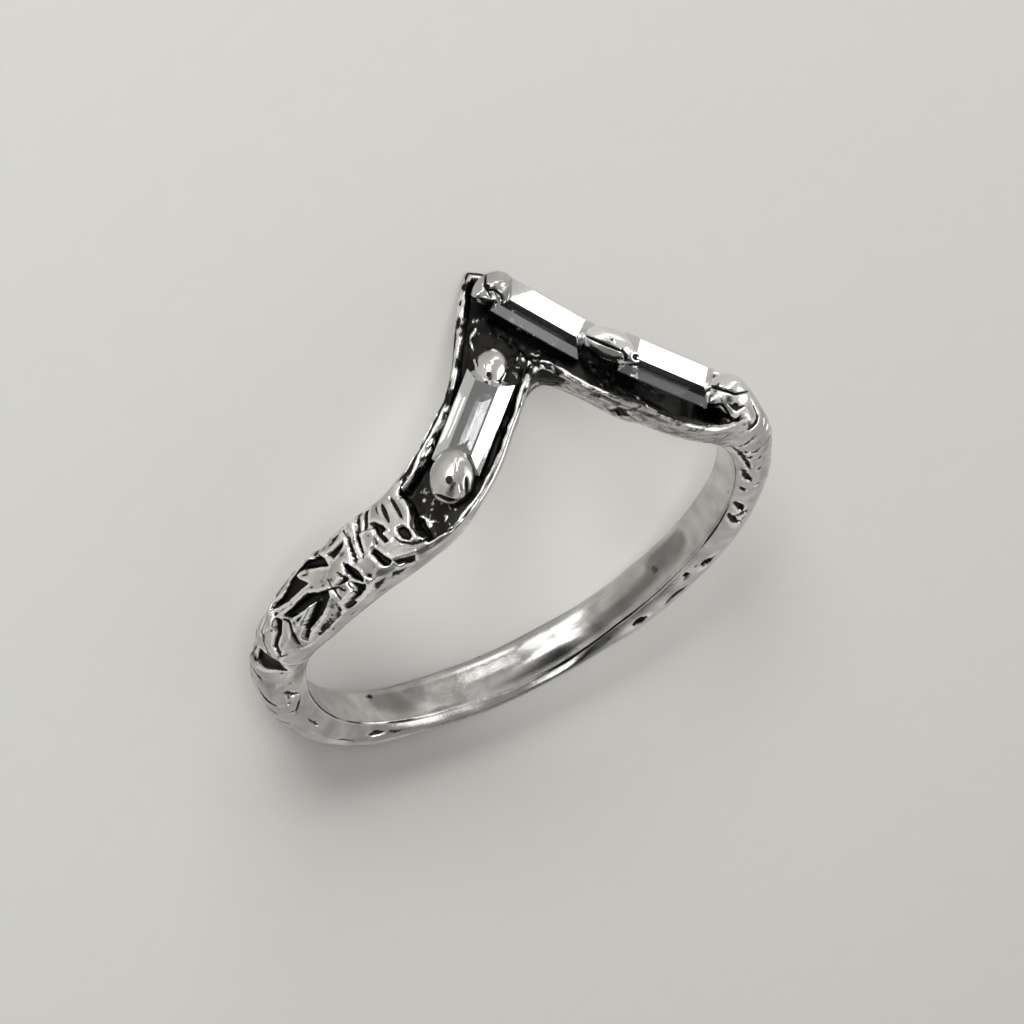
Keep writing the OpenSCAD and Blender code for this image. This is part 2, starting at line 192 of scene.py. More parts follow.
# Grooves of the lower side wall: corner points as angle and radius, half width, depth
SIDE_LINES = [
    ([(46.8, 9.1), (42.9, 9.82)], 0.1, 0.13), ([(50.6, 9.5), (47.4, 10.1)], 0.05, 0.06),
    ([(55.2, 8.72), (54.4, 9.1)], 0.08, 0.1), ([(59.4, 9.12), (58.6, 9.57), (57, 10.1)], 0.1, 0.13),
    ([(62.2, 9.7), (61, 10.15)], 0.06, 0.08), ([(65, 9.15), (66.2, 9.48), (65, 9.95)], 0.09, 0.13),
    ([(70.6, 9.42), (69.9, 9.82), (69, 10.18)], 0.1, 0.13), ([(73.2, 9.8), (72.2, 10.15)], 0.06, 0.08),
    ([(76.6, 9.36), (75.8, 9.68), (74.8, 10.05)], 0.1, 0.13), ([(80.2, 9.7), (79.2, 10.05)], 0.06, 0.08),
    ([(84.4, 9.3), (83.9, 9.68), (83, 10.05)], 0.1, 0.13), ([(88.2, 9.62), (87.4, 10)], 0.06, 0.08),
    ([(92.4, 9.4), (92.6, 9.71), (92.2, 9.98)], 0.07, 0.1),
    ([(98.4, 9.08), (96.9, 9.44), (97.6, 9.95)], 0.1, 0.13),
    ([(100, 9.45), (98.8, 9.67), (98.2, 9.88)], 0.08, 0.12),
    ([(57.6, 8.92), (66, 9), (75.4, 9.12)], 0.09, 0.14),
    ([(75.4, 8.88), (79.4, 8.98), (82.4, 9.18)], 0.13, 0.14), ([(84.6, 8.84), (87, 9.04)], 0.11, 0.12),
    ([(92.6, 8.84), (96.2, 9.26)], 0.14, 0.16), ([(98, 8.84), (100.6, 9.16), (101.2, 9.52)], 0.14, 0.16),
    ([(104.2, 9.7), (107, 9.56)], 0.07, 0.08), ([(117.9, 9.22), (114.6, 9.42)], 0.2, 0.14),
    ([(121.6, 8.94), (123.2, 9.06)], 0.12, 0.1), ([(132.2, 9.33), (128.9, 9.29), (125.8, 9.42)], 0.09, 0.12),
    ([(141.4, 9.12), (138.2, 9.22)], 0.17, 0.14), ([(18.4, 8.7), (15.6, 9.86)], 0.19, 0.2),
    ([(-93.6, 10.14), (-95.2, 9.72), (-100.8, 9.16)], 0.08, 0.1),
    ([(-95.2, 9.97), (-99.4, 9.8)], 0.06, 0.08), ([(-105, 9.86), (-106.7, 9.36)], 0.07, 0.09),
    ([(-103, 9.05), (-105.2, 9.27), (-107.8, 9.47)], 0.08, 0.1),
    ([(-97.4, 9.62), (-99.6, 9.5)], 0.06, 0.08), ([(-48.2, 9.2), (-50.9, 9.34)], 0.07, 0.09),
    ([(-114.5, 9.25), (-120.4, 9.18)], 0.12, 0.06), ([(-142.8, 9.1), (-147, 9)], 0.12, 0.13),
    ([(-132.5, 9.44), (-138.8, 9.41)], 0.06, 0.08),
]
# Pits of the lower side wall: angle, radius, half width
PITS = [
    (-73.1, 9.08, 0.1), (-59.5, 9.27, 0.12), (64.5, 9.16, 0.11), (68.5, 9.24, 0.13),
    (26.5, 9.39, 0.1), (29.6, 9.82, 0.12), (35.6, 8.88, 0.14), (22.9, 9.9, 0.07),
    (20.1, 9.86, 0.06), (-97.3, 9.8, 0.08), (-92.6, 9.5, 0.1), (-66, 9.4, 0.12),
    (-95.6, 9.98, 0.06), (-99.2, 9.92, 0.07), (-101.1, 9.62, 0.1), (-102.6, 9.76, 0.06),
    (-104.6, 9.83, 0.08), (-105.6, 9.66, 0.07),
]

# Bead prongs, near those of the part: angle, height, centre over the inner wall, direction,
# half length and half width
BEADS = [
    (2.3, 5.62, 1.7, 8, 0.82, 0.51),
    (18.4, 2.12, 1.78, -42, 1.0, 0.58),
    (43.0, -0.37, 1.85, -30, 0.83, 0.76),
    (-6.5, 2.76, 1.66, 52, 0.8, 0.59),
    (-23.4, -0.14, 1.65, 48, 0.98, 0.8),
]

# The photograph's camera: frame in pixels, distance, elevation below the ring's middle plane, roll, turn
# from the peak, scale, place of the ring's centre in the frame, sensor, and clip distances in metres
FRAME_PX = 1024
CAM_DISTANCE = 200.0
CAM_ELEVATION = 22.0
CAM_ROLL = 30.5
PEAK_TURN = 21.6
PX_PER_MM = 27.76
CENTRE_PX = (515.6, 565.6)
SENSOR_MM = 36.0
CLIP_M = (0.001, 10)


X, Y, Z = range(3)


def cos_sin(angle):
    """Cosine and sine of an angle in degrees."""
    return math.cos(math.radians(angle)), math.sin(math.radians(angle))


def turn(axis, angle):
    """Rotation about one axis as a 3 by 3 array."""
    c, s = cos_sin(angle)
    i, j = (axis + 1) % 3, (axis + 2) % 3
    made = np.eye(3)
    made[i, i] = made[j, j] = c
    made[i, j], made[j, i] = -s, s
    return made


LAY = turn(Y, REST_ROLL) @ turn(X, REST_TILT) @ turn(Y, 180)


def laid(points):
    """Points of the ring's own frame, in mm, laid down in the row frame, in metres."""
    return (points @ LAY.T + np.array(REST_SHIFT)) * MM


def smooth(x):
    """Smooth step from 0 to 1."""
    c = np.clip(x, 0, 1)
    return c * c * (3 - 2 * c)


def ramp(x, start, reach):
    """Smooth step that is 0 at the start and 1 a reach further on."""
    return smooth((x - start) / reach)


def most(*fields):
    """The largest of several fields at each place."""
    return reduce(np.maximum, fields)


def band_of(a, start, end, soft):
    """1 between two angles and 0 outside, with soft ends."""
    return smooth((a - start) / soft) * smooth((end - a) / soft)


# Large primes that mix whole coordinates into one repeatable number
PRIMES = (374761393, 668265263, 2246822519)


def scatter(*cells, seed=0):
    """A repeatable number from 0 to 1 for each cell of whole coordinates."""
    n = np.full(np.broadcast(*cells).shape, seed * 7919 + 17, dtype=np.int64)
    for c, prime in zip(cells, PRIMES):
        n = (n ^ (c.astype(np.int64) * prime)) & 0xFFFFFFFF
        n = (n * 1274126177 + 12345) & 0xFFFFFFFF
        n ^= n >> 15
    return (n & 0xFFFF) / 65535.0


def noise(points, size, seed=0):
    """Smooth value noise from -1 to 1 over points, with lumps of the given size."""
    q = points / size
    base = np.floor(q)
    f = q - base
    f = f * f * (3 - 2 * f)
    total = 0
    for corner in np.ndindex(2, 2, 2):
        c = base + np.array(corner)
        w = np.prod(np.where(np.array(corner) == 1, f, 1 - f), axis=-1)
        total = total + w * scatter(c[..., 0], c[..., 1], c[..., 2], seed=seed)
    return 2 * total - 1


def rough(points, size, seed=0, octaves=3):
    """Noise of several sizes, each half as large and half as strong as the one before."""
    return sum(noise(points, size / 2**k, seed + k) / 2**k for k in range(octaves))


def facets(x, z, size, seed):
    """Random tilted planes, one for each cell; returns height and nearness to a cell's border."""
    gx, gz = x / size[0], z / size[1]
    found = []
    for dx, dz in np.ndindex(3, 3):
        cx, cz = np.floor(gx) + dx - 1, np.floor(gz) + dz - 1
        off_x, off_z, tilt_x, tilt_z, lift = (scatter(cx, cz, seed=seed + k) for k in range(5))
        px = gx - cx - 0.5 - 0.8 * (off_x - 0.5)
        pz = gz - cz - 0.5 - 0.8 * (off_z - 0.5)
        found.append((np.hypot(px, pz), lift - 0.5 + (2 * tilt_x - 1) * px + (2 * tilt_z - 1) * pz))
    distances, heights = np.swapaxes(found, 0, 1)
    nearest = np.argsort(distances, axis=0, kind="stable")[:2]
    (d1, d2), (h1, h2) = (np.take_along_axis(values, nearest, 0) for values in (distances, heights))
    mix = smooth((d2 - d1) / 0.1)
    return 0.5 * (h1 + h2) + 0.5 * mix * (h1 - h2), 1 - smooth((d2 - d1) / 0.14)


def groove(x, y, points, half_w, depth, taper=0.6):
    """Depth of a V-shaped groove along corner points, which narrows towards its ends."""
    lengths = [math.dist(p, q) for p, q in zip(points, points[1:])]
    total, run = sum(lengths), 0.0
    best = np.zeros(np.broadcast(x, y).shape)
    for (p, q), length in zip(zip(points, points[1:]), lengths):
        ux, uy = (q[0] - p[0]) / length, (q[1] - p[1]) / length
        t = np.clip((x - p[0]) * ux + (y - p[1]) * uy, 0, length)
        d = np.hypot(x - p[0] - t * ux, y - p[1] - t * uy)
        width = half_w * (1 - taper * np.abs(2 * (run + t) / total - 1) ** 2)
        best = most(best, depth * np.clip(1 - d / width, 0, 1))
        run += length
    return best


def deepest(x, y, marks, lay_out=list, wider=1, deeper=1, taper=0.6):
    """Depth of many grooves at once: corner points, half width and depth of each."""
    best = np.zeros(np.broadcast(x, y).shape)
    for points, half_w, depth in marks:
        best = most(best, groove(x, y, lay_out(points), wider * half_w, deeper * depth, taper))
    return best


def run_points(points):
    """Corner points of a mark, given as angle and height or radius, in mm along the band."""
    return [(a * MM_PER_DEG, v) for a, v in points]


def inside_of(x, y, points):
    """Distance inside a closed outline of corner points, below 0 outside it."""
    best = np.full(np.broadcast(x, y).shape, 9.0)
    within = np.zeros(best.shape, dtype=bool)
    for p, q in zip(points, points[1:] + points[:1]):
        ux, uy = q[0] - p[0], q[1] - p[1]
        t = np.clip(((x - p[0]) * ux + (y - p[1]) * uy) / (ux * ux + uy * uy), 0, 1)
        best = np.minimum(best, np.hypot(x - p[0] - t * ux, y - p[1] - t * uy))
        if uy:
            within ^= ((p[1] > y) != (q[1] > y)) & (x < p[0] + ux * (y - p[1]) / uy)
    return np.where(within, best, -best)


def tangents(rows):
    """Slopes of the cubic through the rows of one arm, level at the back of the shank."""
    gaps = np.diff(rows[:, 0])[:, None]
    rises = np.diff(rows[:, 1:], axis=0) / gaps
    slopes = np.zeros((len(rows), rows.shape[1] - 1))
    slopes[1:-1] = (rises[:-1] * gaps[1:] + rises[1:] * gaps[:-1]) / (gaps[1:] + gaps[:-1])
    for end in (0, -1):
        if abs(rows[end, 0]) < 180:
            slopes[end] = rises[end]
    return slopes


def along(rows, a):
    """The six sizes of one arm at angles a."""
    slopes = tangents(rows)
    i = np.clip(np.searchsorted(rows[:, 0], a) - 1, 0, len(rows) - 2)
    w = (rows[i + 1, 0] - rows[i, 0])[:, None]
    t = (a - rows[i, 0])[:, None] / w
    return (
        (2 * t**3 - 3 * t**2 + 1) * rows[i, 1:]
        + (t**3 - 2 * t**2 + t) * w * slopes[i]
        + (3 * t**2 - 2 * t**3) * rows[i + 1, 1:]
        + (t**3 - t**2) * w * slopes[i + 1]
    )


def sizes_at(a):
    """The six sizes of the band at angles a, a row each."""
    single, double = along(SINGLE_ARM, np.minimum(a, 0)), along(DOUBLE_ARM, most(a, 0))
    return np.where((a <= 0)[:, None], single, double)


STEP = 0.05


def slope_at(a, col):
    """Slope of an edge in the unrolled face, taken on its own side of the peak."""
    after = np.where(a <= 0, np.minimum(a + STEP, 0), a + STEP)
    before = np.where(a <= 0, a - STEP, most(a - STEP, 0.001))
    return (sizes_at(after)[:, col] - sizes_at(before)[:, col]) / ((after - before) * MM_PER_DEG)


def stretch_at(a, col):
    """How much longer an edge is than its run along the band, a row each."""
    return np.sqrt(1 + slope_at(a, col)[:, None] ** 2)


# Runs of sections: start, end and step, close together where the band is carved and wide apart behind
SECTION_RUNS = [
    (-180, -152, 2.0), (-152, -122, 0.8), (-122, -102, 0.33), (-102, -34, 0.26), (-34, 50, 0.36),
    (50, 92, 0.25), (92, 102, 0.4), (102, 142, 0.8), (142, 180, 2.0),
]

# Points round a section, in this order: lower inner edge, lower side, outer face with its steps in
# from both edges, upper side, upper inner edge and inner wall
EDGE_STEPS = np.array([0, 0.03, 0.06, 0.1, 0.14, 0.18, 0.22, 0.26, 0.3, 0.35, 0.4, 0.46, 0.52])
INNER_EDGE = np.array([[0.0, 0.1], [0.02, 0.04], [0.055, 0.01], [0.1, 0.0]])
FACE_POINTS, LOW_SIDE_POINTS, HIGH_SIDE_POINTS, INNER_POINTS = 40, 26, 8, 6
EDGE_POINTS, WHOLE_FACE = len(INNER_EDGE), 2 * len(EDGE_STEPS) + FACE_POINTS
STARTS = np.cumsum([EDGE_POINTS, LOW_SIDE_POINTS, WHOLE_FACE, HIGH_SIDE_POINTS, EDGE_POINTS])
LOW_SIDE, FACE, HIGH_SIDE = (slice(start, end) for start, end in zip(STARTS, STARTS[1:4]))
INNER_WALL = slice(STARTS[4], None)
# The lower inner edge carries a dark line
EDGE_LINE = slice(1, 3)


def face_heights(a, sizes):
    """Heights of the points across the outer face, closer together by its two edges."""
    low, high = sizes[:, OUT_LOW, None], sizes[:, OUT_HIGH, None]
    room = (high - low) * 0.45
    up, down = (EDGE_STEPS * stretch_at(a, col) for col in (OUT_LOW, OUT_HIGH))
    up *= np.minimum(1, room / up[:, -1:])
    down *= np.minimum(1, room / down[:, -1:])
    t = np.linspace(0, 1, FACE_POINTS + 2)[1:-1]
    start, end = low + up[:, -1:], high - down[:, -1:]
    return np.concatenate([low + up, start + (end - start) * t, high - down[:, ::-1]], axis=1)


def edge_distances(a, z, sizes):
    """Distances to the upper and lower outlines, square to them, with the peak's corner kept sharp."""
    left, right = slope_at(np.array([-0.01, 0.01]), OUT_HIGH)
    peak = sizes_at(np.array([0.0]))[0, OUT_HIGH]
    own = (sizes[:, OUT_HIGH, None] - z) / stretch_at(a, OUT_HIGH)
    x = a[:, None] * MM_PER_DEG
    facing = np.where(x <= 0, right, left)
    other = (peak + facing * x - z) / np.sqrt(1 + facing**2)
    return np.minimum(own, other), (z - sizes[:, OUT_LOW, None]) / stretch_at(a, OUT_LOW)


def seats(a, z):
    """Depth of the pockets under the stones."""
    depth = np.zeros(np.broadcast(a, z).shape)
    for at, height, direction in STONES.values():
        c, s = cos_sin(direction)
        x, y = (a - at) * MM_PER_DEG, z - height
        across = STONE_W / 2 - np.abs(-s * x + c * y)
        length = STONE_L / 2 - np.abs(c * x + s * y)
        depth = most(depth, SEAT_DEPTH * smooth(np.minimum(across, length) / 0.35))
    return depth


def unrolled(z, sizes):
    """Heights stretched over the rounded edges, so that marks keep their shape there."""
    edge = sizes[..., EDGE, None]

    def stretch(e):
        bend = np.arcsin(np.clip((edge - e) / edge, 0, 1))
        return np.where(e < edge, edge - edge * bend - e, 0)

    return z + stretch(z - sizes[..., OUT_LOW, None]) - stretch(sizes[..., OUT_HIGH, None] - z)


def flat_points(points):
    """Corner points of a mark, given as angle and height, in mm over the unrolled face."""
    a, z = np.transpose(points)
    w = unrolled(z[:, None], sizes_at(a))[:, 0]
    return list(zip((a * MM_PER_DEG).tolist(), w.tolist()))


# Dark lines along the upper rim of the single-stone arm and the lower rim of the other:
# corner points as angle and height, half width, depth
DARK_LINES = [
    ([(-8.4, 4.66), (-16.7, 2.6), (-23.4, 1.73), (-27.4, 1.34), (-30.8, 0.98), (-33.7, 0.57)], 0.075, 0.11),
    ([(22.5, -0.66), (26.5, -1.04), (31.5, -1.32), (34, -1.4)], 0.06, 0.09),
]
# The bright streak inside the single-stone arm's dark line
STREAKS = [
    ([(-12.6, 3.42), (-19.5, 2.07), (-22.8, 1.7), (-26, 1.36), (-28.3, 1.04), (-31, 0.67),
      (-33, 0.4)], 0.1, 0.07),
]
# Thin bright ridges and specks on the trough's floor: corner points as angle and height, half width, height
RIDGES = [
    ([(-5.4, 5.25), (-3.4, 5.02), (-1.2, 4.94)], 0.07, 0.1),
    ([(-6.6, 4.3), (-5.4, 4.52), (-3.6, 4.7)], 0.08, 0.12),
    ([(-6.2, 4.5), (-6.3, 4.05)], 0.07, 0.1), ([(2.8, 3.82), (4, 3.51)], 0.05, 0.06),
    ([(3.6, 3.05), (6, 2.9), (10.9, 2.57)], 0.06, 0.07), ([(2.4, 3.05), (3.3, 2.92)], 0.1, 0.12),
    ([(3.8, 2.75), (4.8, 2.5)], 0.12, 0.14), ([(3.2, 2.2), (4, 1.98)], 0.1, 0.1),
    ([(-33.2, -0.45), (-32.1, -0.82), (-31.2, -0.88)], 0.06, 0.08),
    ([(-29.6, -1.14), (-28.4, -1)], 0.06, 0.07),
]
# The rough, blackened inner corner of the V
CORNER_AT, CORNER_R = (2.6, 2.5), 1.05


# The lower lip of the two-stone arm: the angles at which it starts and ends, and how softly it does
DOUBLE_LIP = (4, 48, 5)


# In the relief below, a factor before noise or rough is in mm, and the numbers inside are the size of
# the lumps, the seed and the count of sizes. Black, bright and the painted shade run from 0 to 1.


class Face:
    """Places over the outer face: angle, run, height, unrolled height, distances to its edges, and noise."""

    def __init__(self, angles, z, sizes):
        self.a, self.z = angles[:, None], z
        self.x = self.a * MM_PER_DEG
        self.high, self.low = edge_distances(angles, z, sizes)
        self.edge = np.minimum(self.high, self.low)
        self.w = unrolled(z, sizes)
        self.spot = np.stack(np.broadcast_arrays(self.x, self.w, 0 * z), axis=-1)
        self.grit = rough(self.spot, 0.16, 45)


def trough(f):
    """The sunken trough: how sunk and how raised each place is, its relief, its black and its bright."""
    ends = np.minimum(f.a - TROUGH_START + 1.2 * noise(f.spot, 0.8, 5), TROUGH_END - f.a) * MM_PER_DEG
    wobble = 0.05 * noise(f.spot, 0.45, 3) + 0.03 * noise(f.spot, 0.16, 4)
    high_rim = RIM_W + HIGH_RIM_SWELL * ramp(-f.a, 10, 18)
    low_rim = RIM_W + LOW_RIM_SWELL * band_of(f.a, 8, 40, 8)
    inset = np.minimum(np.minimum(f.high - high_rim, f.low - low_rim), ends - RIM_W) + wobble
    sunk = smooth(inset / RAMP_W)

    corner = smooth(1.3 - np.hypot(f.x - CORNER_AT[0] * MM_PER_DEG, f.z - CORNER_AT[1]) / CORNER_R)
    patch = ramp(rough(f.spot, 1.0, 19), -0.1, 0.7)
    grain = sunk * (0.05 * rough(f.spot, 0.8, 11, 2) + 0.045 * patch * rough(f.spot, 0.22, 15))
    grain = grain + 0.13 * corner * rough(f.spot, 0.34, 17, 4)
    ragged = np.clip(0.6 + 0.6 * rough(f.spot, 0.3, 49), 0, 1)
    raised = deepest(f.x, f.z, RIDGES, run_points, taper=0.4) * ragged
    relief = grain + raised - (TROUGH_DEPTH * sunk + seats(f.a, f.z) * sunk)

    left_end = band_of(f.a, -36, -25, 2)
    specks = most(0.45 * patch, 0.6 * left_end, 0.9 * corner) * ramp(f.grit, 0.35, 0.4)
    black = most(ramp(sunk, 0.2, 0.4) * (1 - specks), 0.95 * corner * smooth((0.3 - f.grit) / 0.5))
    bright = most(corner * ramp(f.grit, 0.2, 0.3), 0.8 * ramp(raised, 0.02, 0.05))
    return sunk, raised, relief, black, bright


def rims(f, arms):
    """The ragged rims beside the trough: relief, black and bright."""
    upper = arms * smooth((0.9 - f.high) / 0.2) * band_of(f.a, -38, 2, 4)
    double = band_of(f.a, *DOUBLE_LIP)
    lip = arms * double * smooth((0.6 - f.low) / 0.1)
    lines = deepest(f.x, f.w, DARK_LINES, flat_points, taper=0.3)
    streak = deepest(f.x, f.w, STREAKS, flat_points, taper=0.3)
    thin = 0.05 * arms * np.clip(1 - np.abs(f.edge - 0.12 - 0.02 * noise(f.spot, 0.5, 21)) / 0.035, 0, 1)
    thin = thin * ramp(noise(f.spot, 1.4, 22), -0.1, 0.4) * (1 - 0.8 * double * (f.low < 0.4))
    streaked = rough(f.spot * [0.3, 1, 1], 0.15, 48, 4)
    ragged = (0.012 * arms + 0.035 * upper) * rough(f.spot * [0.45, 1, 1], 0.2, 23, 4)
    relief = ragged * (1 - 0.6 * lip) + 0.012 * lip * streaked - thin - lines + streak
    black = most(
        lip * ramp(f.low, 0.2, 0.06) * ramp(f.grit, -1.0, 0.4),
        0.6 * lip * ramp(streaked, -0.2, 0.5),
        0.7 * smooth(thin / 0.03),
        ramp(lines, 0.02, 0.03),
        0.9 * upper * ramp(streaked, -0.15, 0.4) * ramp(f.high, 0.1, 0.06) * (1 - smooth(streak / 0.04)),
    )
    bright = most(
        smooth(streak / 0.05),
        0.9 * upper * smooth((-0.05 - streaked) / 0.3),
        0.6 * arms * smooth((0.1 - f.edge) / 0.05) * (1 - lip),
    )
    return relief, black, bright


def shoulders(f, free):
    """Facets and cuts of the shoulders: relief, black and bright."""
    planes, border = facets(f.x, f.w, (1.3, 0.8), 31)
    planes = free * (0.26 * planes + 0.02 * rough(f.spot, 0.5, 41))
    x, w = f.x + 0.02 * noise(f.spot, 0.3, 43), f.w + 0.02 * noise(f.spot, 0.3, 44)
    shapes, inked, lips = np.zeros((3, *f.z.shape))
    for points, depth in CUT_SHAPES:
        within = inside_of(x, w, flat_points(points))
        shapes = most(shapes, depth * ramp(within, -0.05, 0.16))
        inked = most(inked, ramp(within, -0.03, 0.08))
        lips = most(lips, ramp(within, -0.16, 0.08) * smooth((0.02 - within) / 0.06))
    hatch = [(points, half_w, half_w) for points, half_w in HATCH]
    fine = most(
        deepest(f.x, f.w, CUTS, flat_points, *CUT_GAIN),
        deepest(f.x, f.w, hatch, flat_points, *HATCH_GAIN),
        deepest(f.x, f.w, [END_CUT], flat_points),
    )
    cuts = most(fine, shapes)
    relief = planes * (1 - smooth(cuts / 0.1)) - cuts + 0.03 * lips
    black = most(ramp(fine, 0.015, 0.04), inked, 0.5 * free * ramp(rough(f.spot, 0.5, 47), 0.6, 0.4))
    bright = most(0.8 * lips * (1 - smooth(cuts / 0.05)), 0.3 * free * ramp(border, 0.6, 0.3))
    return relief, black, bright


def outer_face(angles, z, sizes):
    """Radius and relief over the outer face, how black it is and how bright, at heights z of each section."""
    f = Face(angles, z, sizes)
    sunk, raised, *of_trough = trough(f)
    of_rims = rims(f, band_of(f.a, -37, 50, 4) * (1 - sunk))
    of_shoulders = shoulders(f, band_of(f.a, -95, -36, 8) * (1 - sunk))
    reliefs, blacks, brights = zip(of_trough, of_rims, of_shoulders)
    relief = sum(reliefs)
    black = most(*blacks) * (1 - smooth(raised / 0.05))

    edge_r = sizes[:, EDGE, None]
    round_off = edge_r - np.sqrt(np.clip(edge_r**2 - (edge_r - f.edge) ** 2, 0, None))
    drop = np.where(f.edge < edge_r, round_off, 0)
    t = 2 * (z - sizes[:, OUT_LOW, None]) / (sizes[:, OUT_HIGH] - sizes[:, OUT_LOW])[:, None] - 1
    radius = INNER_R + sizes[:, WALL, None] + CROWN_RISE * (0.5 - t**2) - drop + relief
    return radius, relief, black, most(*brights)


# Where the shank's inner wall leans towards the light: angle round the ring and the height it starts at
INNER_LEAN = [
    (124, 9), (126, 0.9), (132, 0.6), (140, 0.45), (152, 0.35), (156, -0.05), (162, -0.15), (168, 0.15),
    (172, 0), (178, -0.35), (184, -0.5), (192, -0.45), (200, -0.2), (206, 0.9), (208, 9),
]
LEAN_SLOPE = 0.16
# Waves of the shank's outer face: angle round the ring and change of radius
SHANK_WAVES = [
    (100, 0), (110, -0.05), (120, 0), (134, -0.03), (142, 0), (150, -0.14), (157, -0.32), (165, -0.36),
    (172, -0.34), (180, -0.3), (190, -0.34), (200, -0.34), (208, -0.12), (214, 0), (222, 0.05), (232, 0),
    (244, -0.06), (254, 0),
]
# Where the shank's inner edge is rounded wide: angle round the ring and reach of the rounding
INNER_FLARE = [(144, 0), (151, 0.16), (160, 0.3), (172, 0.28), (181, 0.14), (190, 0)]
# Black spots of the inner wall: angle, height, reach, strength
INNER_MARKS = [
    (-145.2, 0.66, 0.22, 0.9), (-146.6, 0.54, 0.24, 0.9), (127.8, 0.04, 0.26, 0.6),
    (82, -0.74, 0.28, 0.6), (86, -0.66, 0.3, 0.6), (90, -0.56, 0.26, 0.55),
]
# Painted dark reflections on the inner wall: corner points as angle and height, half width, strength
INNER_DARK_REFLECTIONS = [
    ([(117, 0.2), (128, 0.15)], 0.8, 0.7), ([(-148, 0.25), (-160, 0.25)], 0.9, 0.65),
    ([(124, 0), (135, -0.15), (144, -0.32), (155, -0.46), (168, -0.6), (180, -0.74)], 0.45, 0.8),
    ([(-163, 0.62), (-172, 0.64)], 0.25, 0.45), ([(-121.5, -0.5), (-123, -0.54)], 0.3, 0.6),
]


def over_ring(a, table):
    """Values of a table of angles round the ring at angles a."""
    return np.interp(a % 360, *np.transpose(table))


# How far the side walls bow out, and how far the upper one's grooves and pits are turned from the
# lower one's
SIDE_BOW = 0.07
LINE_TURN, PIT_TURN = 3.0, -4.0


def side_wall(start, end, points, bow):
    """Points of a side wall from one (radius, height) to another, bowed outwards in height."""
    t = np.linspace(0, 1, points + 2)[1:-1]
    r, z = (p[:, None] + (q - p)[:, None] * t for p, q in zip(start, end))
    return r, z + bow * 4 * t * (1 - t)


def blurred(field, reach):
    """Mean of a grid over a square window, wrapped round in both directions."""
    for axis in (0, 1):
        field = sum(np.roll(field, k, axis) for k in range(-reach, reach + 1)) / (2 * reach + 1)
    return field


def side_marks(a, r, line_turn, pit_turn):
    """Depth of the marks on a side wall, at radii r of each section."""
    x = a * MM_PER_DEG
    spot = np.stack([x + 0 * r, r, 0 * r], axis=-1)
    x = x + 0.045 * rough(spot, 0.25, 91)
    r = r + 0.035 * rough(spot, 0.22, 95)
    lines = [([(p + line_turn, q) for p, q in points], *size) for points, *size in SIDE_LINES]
    depth = deepest(x, r, lines, run_points, *SIDE_GAIN)
    for at, radius, half_w in PITS:
        d = np.hypot(x - (at + pit_turn) * MM_PER_DEG, (r - radius) * 1.3)
        depth = most(depth, 0.10 * smooth((1.3 * half_w - d) / (0.7 * half_w)))
    return depth


def section_loops(a, sizes, r, z):
    """Radius and height of the points round each section, whose outer face has radii r and heights z."""
    flare, lean_from = over_ring(a, INNER_FLARE), over_ring(a, INNER_LEAN)
    bore = INNER_R + RELIEF * band_of(a, RELIEF_START, RELIEF_END, 1.0)
    low_bore = bore + flare
    high_bore = bore - LEAN_SLOPE * np.clip(sizes[:, IN_HIGH] - lean_from, 0, None)
    low, high = sizes[:, IN_LOW], sizes[:, IN_HIGH]
    low_side = side_wall((low_bore + EASE, low), (r[:, 0], z[:, 0]), LOW_SIDE_POINTS, -SIDE_BOW)
    high_side = side_wall((r[:, -1], z[:, -1]), (high_bore + EASE, high), HIGH_SIDE_POINTS, SIDE_BOW)
    low_edge = low_bore[:, None] + INNER_EDGE[:, 0], low[:, None] + INNER_EDGE[:, 1]
    high_edge = high_bore[:, None] + INNER_EDGE[::-1, 0], high[:, None] - INNER_EDGE[::-1, 1]
    t = np.linspace(1, 0, INNER_POINTS + 2)[1:-1]
    inner_z = low_edge[1][:, :1] + (high_edge[1][:, -1:] - low_edge[1][:, :1]) * t
    inner_r = bore[:, None] - LEAN_SLOPE * np.clip(inner_z - lean_from[:, None], 0, None)
    inner_r = inner_r + flare[:, None] * smooth((-inner_z - 0.05) / 0.7)
    parts = zip(low_edge, low_side, (r, z), high_side, high_edge, (inner_r, inner_z))
    return (np.concatenate(part, axis=1) for part in parts)


